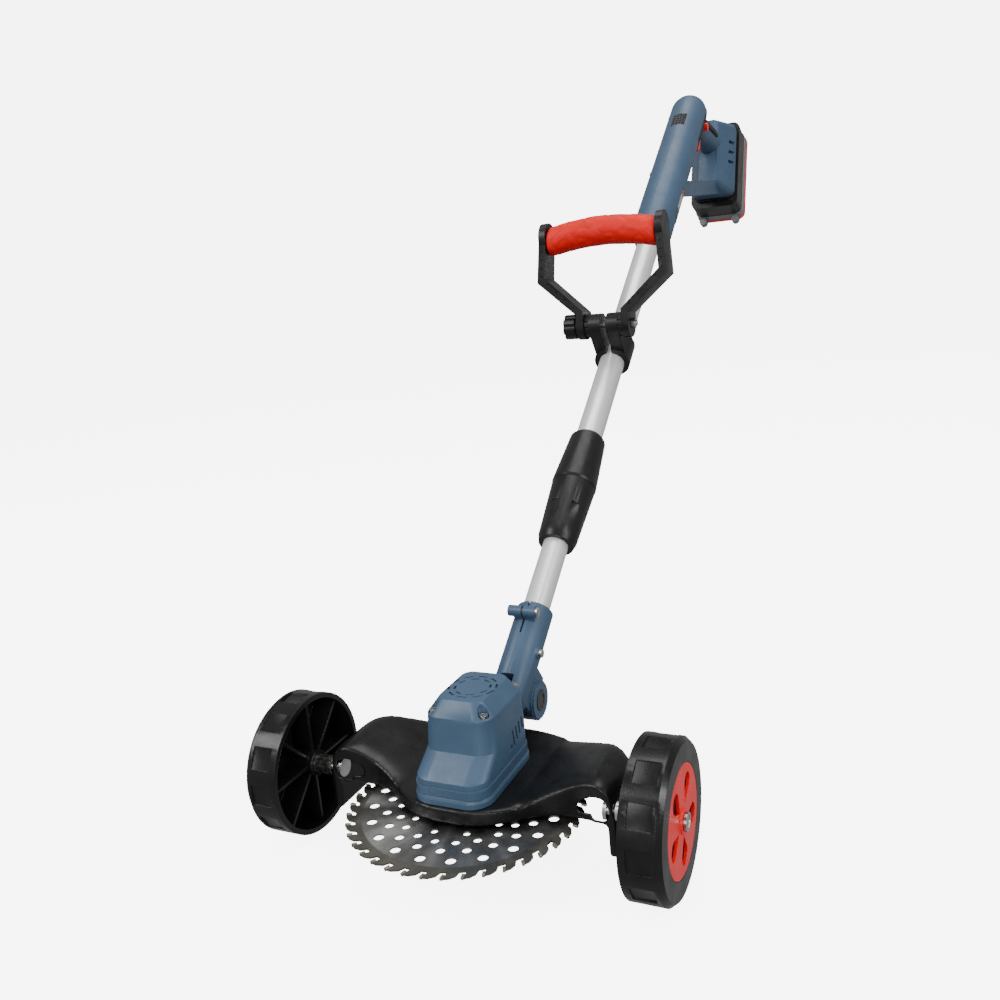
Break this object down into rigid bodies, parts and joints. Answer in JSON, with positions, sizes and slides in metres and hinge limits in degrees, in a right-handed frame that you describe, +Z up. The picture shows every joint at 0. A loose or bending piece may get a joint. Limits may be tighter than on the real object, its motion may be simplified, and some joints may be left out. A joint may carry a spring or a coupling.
{
  "type": "brush cutter",
  "caption": "Wheeled battery brush cutter: perforated saw blade under a guard, motor head on a pivoting neck, telescopic pole, red foam front handle and rear trigger grip with battery.",
  "frame": {"origin": "on the floor, midway between the two wheels, under their common axle line", "axes": "+Z up, +Y backwards along the pole towards the rear grip, +X to the right of somebody facing the blade from the front"},
  "size_m": [0.3578, 1.1987, 0.684],
  "materials": {
    "tube_white_aluminium": "satin",
    "blue_plastic": "fine texture",
    "blue_cover": "fine texture",
    "black_plastic": "satin",
    "black_guard": "satin",
    "soft_black": "matte",
    "wheel_black": "satin",
    "red_plastic": "satin",
    "red_foam": "soft foam",
    "grey_plastic": "satin",
    "plated_steel": "plated",
    "blade_steel": "brushed",
    "carbide": "ground",
    "gear_steel": "machined",
    "copper_core": "lacquered",
    "cell_wrap": "shrink wrap",
    "board_green": "solder mask",
    "bronze_button": "satin",
    "label_grey": "plain"
  },
  "bodies": {
    "handle_body": {"upper_tube": "tube_white_aluminium", "lock_sleeve": "black_plastic", "tube_collet": "black_plastic", "rear_housing_left": "blue_plastic", "rear_housing_right": "blue_plastic", "grip_overmould": "soft_black", "vent_grille": "black_plastic", "side_label": "label_grey", "housing_screws": "plated_steel", "control_board": "board_green", "switch_module": "black_plastic", "trigger_pin": "gear_steel"},
    "lock_collar": {"lock_collar": "black_plastic"},
    "lower_pole": {"lower_tube": "tube_white_aluminium", "pivot_neck": "blue_plastic", "neck_screws": "plated_steel", "pivot_pin": "gear_steel"},
    "pivot_button": {"pivot_button": "bronze_button"},
    "head": {"motor_housing": "blue_plastic", "motor_cover": "blue_cover", "cover_screws": "plated_steel", "gearbox_plate": "blue_plastic", "spindle_bearings": "gear_steel", "motor_bearings": "gear_steel", "motor_stator": "copper_core", "blade_guard": "black_guard", "axle_left": "plated_steel", "axle_right": "plated_steel", "axle_clip_left": "plated_steel", "axle_clip_right": "plated_steel"},
    "wheel_left": {"wheel_left": "wheel_black", "hub_disc_left": "red_plastic"},
    "wheel_right": {"wheel_right": "wheel_black", "hub_disc_right": "red_plastic"},
    "blade": {"drive_gear": "gear_steel", "blade_spindle": "gear_steel", "blade_flanges": "gear_steel", "blade_nut": "plated_steel", "saw_blade": "blade_steel", "carbide_tips": "carbide"},
    "rotor": {"motor_pinion": "gear_steel", "motor_rotor": "gear_steel"},
    "handle_clamp": {"handle_clamp": "black_plastic", "clamp_lock_discs": "black_plastic", "clamp_bolt": "plated_steel"},
    "front_handle": {"handle_arm_left": "black_plastic", "handle_arm_right": "black_plastic", "grip_core": "black_plastic", "foam_grip": "red_foam"},
    "handle_knob": {"handle_knob": "black_plastic"},
    "trigger": {"trigger": "red_plastic"},
    "lock_off_button": {"lock_off_button": "red_plastic"},
    "battery": {"battery_base": "red_plastic", "battery_band": "grey_plastic", "battery_case": "black_plastic", "battery_cells": "cell_wrap", "battery_bumpers": "grey_plastic"},
    "battery_latch": {"battery_latch": "black_plastic"}
  },
  "joints": [
    {"name": "collar_twist", "type": "hinge", "parent": "handle_body", "child": "lock_collar", "pos_m": [0, 0.25272, 0.21599], "axis": [0, 0.8039, 0.5948], "range_deg": [0, 90]},
    {"name": "pole_slide", "type": "slide", "parent": "handle_body", "child": "lower_pole", "axis": [0, -0.8039, -0.5948], "range_m": [-0.07, 0.16]},
    {"name": "head_tilt", "type": "hinge", "parent": "lower_pole", "child": "head", "pos_m": [0, 0.11518, 0.08312], "axis": [1, 0, 0], "range_deg": [-25, 35]},
    {"name": "pivot_button_press", "type": "slide", "parent": "lower_pole", "child": "pivot_button", "axis": [-1, 0, 0], "range_m": [0, 0.0025], "stiffness_N_per_m": 400},
    {"name": "wheel_left_spin", "type": "hinge", "parent": "head", "child": "wheel_left", "pos_m": [0, 0, 0.06], "axis": [1, 0, 0], "continuous": true},
    {"name": "wheel_right_spin", "type": "hinge", "parent": "head", "child": "wheel_right", "pos_m": [0, 0, 0.06], "axis": [1, 0, 0], "continuous": true},
    {"name": "blade_spin", "type": "hinge", "parent": "head", "child": "blade", "pos_m": [0, -0.004, 0.0454], "axis": [0, 0, 1], "continuous": true},
    {"name": "rotor_spin", "type": "hinge", "parent": "head", "child": "rotor", "pos_m": [0, 0.0271, 0.07], "axis": [0, 0, 1], "continuous": true},
    {"name": "clamp_slide", "type": "slide", "parent": "handle_body", "child": "handle_clamp", "axis": [0, 0.8039, 0.5948], "range_m": [-0.1, 0.16]},
    {"name": "handle_tilt", "type": "hinge", "parent": "handle_clamp", "child": "front_handle", "pos_m": [0, 0.41906, 0.39132], "axis": [1, 0, 0], "range_deg": [-35, 60]},
    {"name": "knob_turn", "type": "hinge", "parent": "handle_clamp", "child": "handle_knob", "pos_m": [-0.038, 0.41906, 0.39132], "axis": [1, 0, 0], "continuous": true},
    {"name": "trigger_pull", "type": "hinge", "parent": "handle_body", "child": "trigger", "pos_m": [0, 0.86374, 0.63799], "axis": [1, 0, 0], "range_deg": [0, 9], "stiffness_Nm_per_rad": 0.3, "springref_deg": -5.73},
    {"name": "lock_off_press", "type": "slide", "parent": "handle_body", "child": "lock_off_button", "axis": [1, 0, 0], "range_m": [-0.0025, 0.0025], "stiffness_N_per_m": 300},
    {"name": "battery_slide", "type": "slide", "parent": "handle_body", "child": "battery", "axis": [0, -0.342, -0.9397], "range_m": [0, 0.11]},
    {"name": "latch_press", "type": "slide", "parent": "battery", "child": "battery_latch", "axis": [0, -0.342, -0.9397], "range_m": [0, 0.003], "stiffness_N_per_m": 500, "springref_m": -0.002}
  ],
  "couplings": [
    {"joint": "rotor_spin", "follows": "blade_spin", "ratio": -4.1667}
  ]
}
